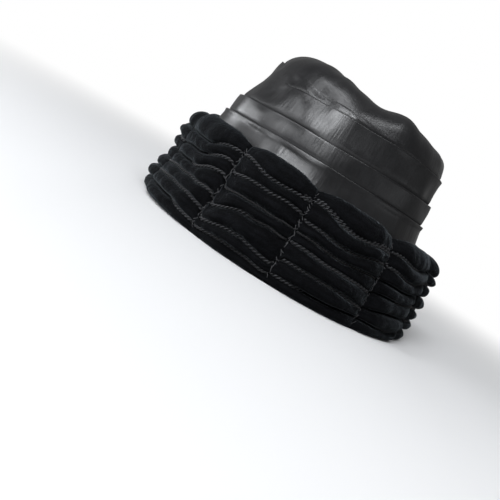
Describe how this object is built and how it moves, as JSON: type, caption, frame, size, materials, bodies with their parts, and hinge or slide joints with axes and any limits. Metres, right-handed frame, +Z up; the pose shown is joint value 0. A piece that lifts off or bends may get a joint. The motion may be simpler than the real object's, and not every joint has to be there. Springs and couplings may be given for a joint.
{
  "type": "cocktail hat",
  "caption": "Bucket-shaped cocktail hat with a pleated satin crown and a gathered, turned-up velvet cuff.",
  "frame": {"origin": "middle of the hem, on the surface that the hat rests on", "axes": "+Z up through the crown, -Y to the front of the hat, +X to the wearer's left"},
  "size_m": [0.2105, 0.2396, 0.15],
  "materials": {
    "satin": "black satin",
    "velvet": "black velvet"
  },
  "bodies": {
    "root": {"crown": "satin", "cuff": "velvet"}
  },
  "joints": []
}
